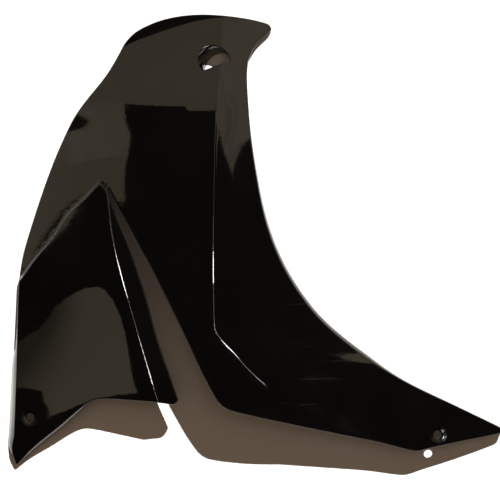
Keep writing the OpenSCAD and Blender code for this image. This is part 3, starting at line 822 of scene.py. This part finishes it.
def satin_back(looks):
    """The inner side as it leaves the mould: satin, faintly grained and marked by the flow."""
    material, tree, shader, place = new_material("satin_back_plastic")
    streaks = noise(tree, stretched(tree, place, (6, 22, 6), 0.5), 1.0, detail=4, roughness=0.6)
    flow = span(tree, streaks, 0.4, 0.7)
    grain = noise(tree, place, 2600)
    scuff = span(tree, noise(tree, place, 45, detail=5, roughness=0.65), 0.58, 0.78)
    base = blend(tree, flow, looks.back_colour[:], looks.back_flow_colour[:])
    base = blend(tree, reckon(tree, "MULTIPLY", scuff, 0.5), base, looks.scuff_colour[:])
    tree.links.new(base, shader.inputs["Base Color"])
    rough = reckon(tree, "ADD", span(tree, flow, 0, 1, looks.back_roughness,
                                     looks.back_roughness + 0.08),
                   reckon(tree, "MULTIPLY", scuff, 0.1))
    tree.links.new(rough, shader.inputs["Roughness"])
    relief = bump(tree, grain, 0.35, 0.00008)
    relief = bump(tree, flow, 0.2, 0.0003, relief)
    tree.links.new(relief, shader.inputs["Normal"])
    shader.inputs["IOR"].default_value = 1.49
    return material


def pale_floor(looks):
    """A matt white table top with a little grain."""
    material, tree, shader, place = new_material("pale_floor")
    tone = span(tree, noise(tree, place, 3, detail=3), 0.35, 0.65)
    tree.links.new(blend(tree, tone, looks.floor_colour[:], looks.floor_shade[:]),
                   shader.inputs["Base Color"])
    tree.links.new(bump(tree, noise(tree, place, 900), 0.1, 0.0001), shader.inputs["Normal"])
    shader.inputs["Roughness"].default_value = 0.75
    shader.inputs["Specular IOR Level"].default_value = 0.25
    return material


def length(name, text, value):
    """A size in metres that a user may change."""
    return bpy.props.FloatProperty(name=name, description=text, default=value, min=0.0,
                                   unit="LENGTH", precision=4)


def colour(name, text, value):
    """A colour that a user may change."""
    return bpy.props.FloatVectorProperty(name=name, description=text, default=value, size=3,
                                         min=0.0, max=1.0, subtype="COLOR")


def share(name, text, value):
    """An amount between none and all."""
    return bpy.props.FloatProperty(name=name, description=text, default=value, min=0.0, max=1.0,
                                   subtype="FACTOR")


class FairingSizes(bpy.types.PropertyGroup):
    """How finely the moulding is meshed and how soft its creases are"""
    grid: length("Mesh grid", "Distance between the points of the outer skin", 0.0024)
    ridge_round: length("Ridge round", "How far the creases of the skin are rounded", 0.001)


class FairingLooks(bpy.types.PropertyGroup):
    """Colours and roughness of the moulding's two sides"""
    gloss_colour: colour("Gloss black", "Colour of the polished outer side",
                         (0.001, 0.001, 0.001))
    haze_colour: colour("Haze", "Colour of the gloss where it is a little hazy",
                        (0.0022, 0.0021, 0.002))
    dust_colour: colour("Dust", "Colour of the fine dust on the gloss", (0.12, 0.11, 0.1))
    dust: share("Dust amount", "How much the dust shows", 0.1)
    gloss_roughness: share("Gloss roughness", "Roughness of the polished side", 0.045)
    back_colour: colour("Back", "Colour of the inner side", (0.012, 0.012, 0.0125))
    back_flow_colour: colour("Back, flow marks", "Colour of the inner side's flow marks",
                             (0.018, 0.018, 0.019))
    scuff_colour: colour("Scuffs", "Colour of scuffs on the inner side", (0.035, 0.034, 0.033))
    back_roughness: share("Back roughness", "Roughness of the inner side", 0.38)


class StageSettings(bpy.types.PropertyGroup):
    """The table top, the light and the camera"""
    floor_size: length("Floor size", "Width of the pale table top", 8.0)
    floor_colour: colour("Floor", "Colour of the table top", (0.82, 0.82, 0.82))
    floor_shade: colour("Floor shade", "Colour of the table top where it is darker",
                        (0.8, 0.8, 0.8))
    room_colour: colour("Room light", "Colour of the light from the room", (1.0, 0.68, 0.44))
    room_strength: bpy.props.FloatProperty(
        name="Room strength", description="Strength of the light from the room", default=0.03)
    fill_strength: bpy.props.FloatProperty(
        name="Fill strength", description="Strength of the soft light from above", default=0.3)
    lamp_colour: colour("Lamp light", "Colour of the main lamp", (1.0, 0.98, 0.95))
    lamp_strength: bpy.props.FloatProperty(
        name="Lamp strength", description="Strength of the main lamp", default=7.0)
    camera_height: length("Camera height", "Height of the camera above the table", 2.5)


class FAIRING_OT_shell(bpy.types.Operator):
    """Builds the fairing as one closed gloss moulding, in place of its CAD solid"""
    bl_idname = "fairing.shell"
    bl_label = "Fairing shell"

    def execute(self, context):
        sizes, looks = context.scene.fairing_sizes, context.scene.fairing_looks
        shell = mould_fairing(sizes.grid / MM, sizes.ridge_round / MM)
        points = np.concatenate(shell.points)
        points[:, :2] -= PLAN_MIDDLE
        mesh = bpy.data.meshes.new("fairing_shell")
        mesh.from_pydata(points * MM, [], shell.faces)
        mesh.materials.append(gloss_black(looks))
        mesh.materials.append(satin_back(looks))
        mesh.polygons.foreach_set("material_index", shell.looks)
        mesh.shade_smooth()
        own = np.empty(len(points) * 3)
        mesh.vertex_normals.foreach_get("vector", own)
        own = own.reshape(-1, 3)
        given = np.concatenate(shell.normals)
        mesh.normals_split_custom_set_from_vertices(np.where(np.isnan(given), own, given))
        if mesh.validate():
            raise RuntimeError("the fairing's mesh has faces that don't fit together")
        piece = bpy.data.objects.new("fairing_shell", mesh)
        context.scene.collection.objects.link(piece)
        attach(piece, "root")
        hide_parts("fairing_panel")
        return {"FINISHED"}


def aim(thing, target):
    """Turns a lamp or a camera to look at a place."""
    way = Vector(target) - thing.location
    thing.rotation_euler = way.to_track_quat("-Z", "Y").to_euler()


def glowing(name, tint, strength, fade):
    """Light of one colour, a little uneven, and dimmer left of its fade."""
    material = bpy.data.materials.new(name)
    material.use_nodes = True
    tree = material.node_tree
    tree.nodes.remove(tree.nodes["Principled BSDF"])
    glow = tree.nodes.new("ShaderNodeEmission")
    tree.links.new(glow.outputs["Emission"], tree.nodes["Material Output"].inputs["Surface"])
    place = tree.nodes.new("ShaderNodeTexCoord").outputs["Object"]
    uneven = span(tree, noise(tree, place, 0.8), 0.3, 0.7, 0.8 * strength, 1.2 * strength)
    apart = tree.nodes.new("ShaderNodeSeparateXYZ")
    tree.links.new(place, apart.inputs["Vector"])
    lit_share = span(tree, apart.outputs["X"], *fade, DIM_SHARE, 1.0)
    tree.links.new(reckon(tree, "MULTIPLY", uneven, lit_share), glow.inputs["Strength"])
    glow.inputs["Color"].default_value = (*tint, 1)
    return material


def add_board(context, name, tint, strength, height, fade, outline):
    """A glowing board over the table, seen only in the gloss: it lights and shades nothing."""
    mesh = bpy.data.meshes.new(name)
    mesh.from_pydata([(x, y, height) for x, y in outline], [], [tuple(range(len(outline)))])
    mesh.materials.append(glowing(name, tint, strength, fade))
    board = bpy.data.objects.new(name, mesh)
    context.scene.collection.objects.link(board)
    board.visible_camera = board.visible_diffuse = board.visible_shadow = False
    board.visible_transmission = False


class FAIRING_OT_stage(bpy.types.Operator):
    """Lays the pale table, hangs the lamps and boards, and sets the camera above"""
    bl_idname = "fairing.stage"
    bl_label = "Table, lamps and camera"

    def execute(self, context):
        stage, scene = context.scene.stage_settings, context.scene
        half = stage.floor_size / 2
        mesh = bpy.data.meshes.new("table_top")
        mesh.from_pydata([(-half, -half, 0), (half, -half, 0), (half, half, 0), (-half, half, 0)],
                         [], [(0, 1, 2, 3)])
        mesh.materials.append(pale_floor(stage))
        floor = bpy.data.objects.new("table_top", mesh)
        scene.collection.objects.link(floor)

        world = bpy.data.worlds.new("room")
        world.use_nodes = True
        room = world.node_tree.nodes["Background"]
        room.inputs["Color"].default_value = (*stage.room_colour, 1)
        room.inputs["Strength"].default_value = stage.room_strength
        scene.world = world

        sun = bpy.data.lights.new("main_lamp", "SUN")
        sun.color = stage.lamp_colour
        sun.energy = stage.lamp_strength
        sun.angle = math.radians(LAMP_WIDTH)
        lamp = bpy.data.objects.new("main_lamp", sun)
        lamp.location = LAMP_WAY
        lamp.visible_glossy = False
        scene.collection.objects.link(lamp)
        aim(lamp, (0, 0, 0))

        soft = bpy.data.lights.new("fill", "SUN")
        soft.color = stage.room_colour
        soft.energy = stage.fill_strength
        soft.angle = math.radians(FILL_WIDTH)
        fill = bpy.data.objects.new("fill", soft)
        fill.location = (0, 0, 1)
        fill.visible_glossy = False
        scene.collection.objects.link(fill)
        aim(fill, (0, 0, 0))

        for board in BOARDS:
            add_board(context, *board)

        lens = bpy.data.cameras.new("above")
        lens.sensor_width = 36
        reach = stage.camera_height - VIEW_LEVEL * MM
        lens.lens = lens.sensor_width * reach / (VIEW_WIDTH * MM)
        lens.clip_end = 20
        camera = bpy.data.objects.new("above", lens)
        x, y = (np.array(VIEW_MIDDLE) - PLAN_MIDDLE) * MM
        camera.location = (x, y, stage.camera_height)
        scene.collection.objects.link(camera)
        scene.camera = camera
        scene.view_settings.view_transform = "Standard"
        return {"FINISHED"}


class FAIRING_PT_panel(bpy.types.Panel):
    """Builds the fairing and its table, step by step"""
    bl_idname = "FAIRING_PT_panel"
    bl_label = "Side fairing"
    bl_space_type = "VIEW_3D"
    bl_region_type = "UI"
    bl_category = "Fairing"

    def draw(self, context):
        layout, scene = self.layout, context.scene
        for operator in OPERATORS:
            layout.operator(operator.bl_idname)
        for group in (scene.fairing_sizes, scene.fairing_looks, scene.stage_settings):
            box = layout.box()
            for name in group.__annotations__:
                box.prop(group, name)


GROUPS = {"fairing_sizes": FairingSizes, "fairing_looks": FairingLooks,
          "stage_settings": StageSettings}
OPERATORS = (FAIRING_OT_shell, FAIRING_OT_stage)


def register():
    """Makes the settings, the operators and the panel known to Blender."""
    for name, group in GROUPS.items():
        bpy.utils.register_class(group)
        setattr(bpy.types.Scene, name, bpy.props.PointerProperty(type=group))
    for operator in OPERATORS:
        bpy.utils.register_class(operator)
    bpy.utils.register_class(FAIRING_PT_panel)


def unregister():
    """Takes them out again, in the opposite order."""
    bpy.utils.unregister_class(FAIRING_PT_panel)
    for operator in reversed(OPERATORS):
        bpy.utils.unregister_class(operator)
    for name, group in reversed(GROUPS.items()):
        delattr(bpy.types.Scene, name)
        bpy.utils.unregister_class(group)


def main():
    """Builds the moulding and its stage."""
    register()
    bpy.ops.fairing.shell()
    bpy.ops.fairing.stage()


if __name__ == "__main__":
    main()
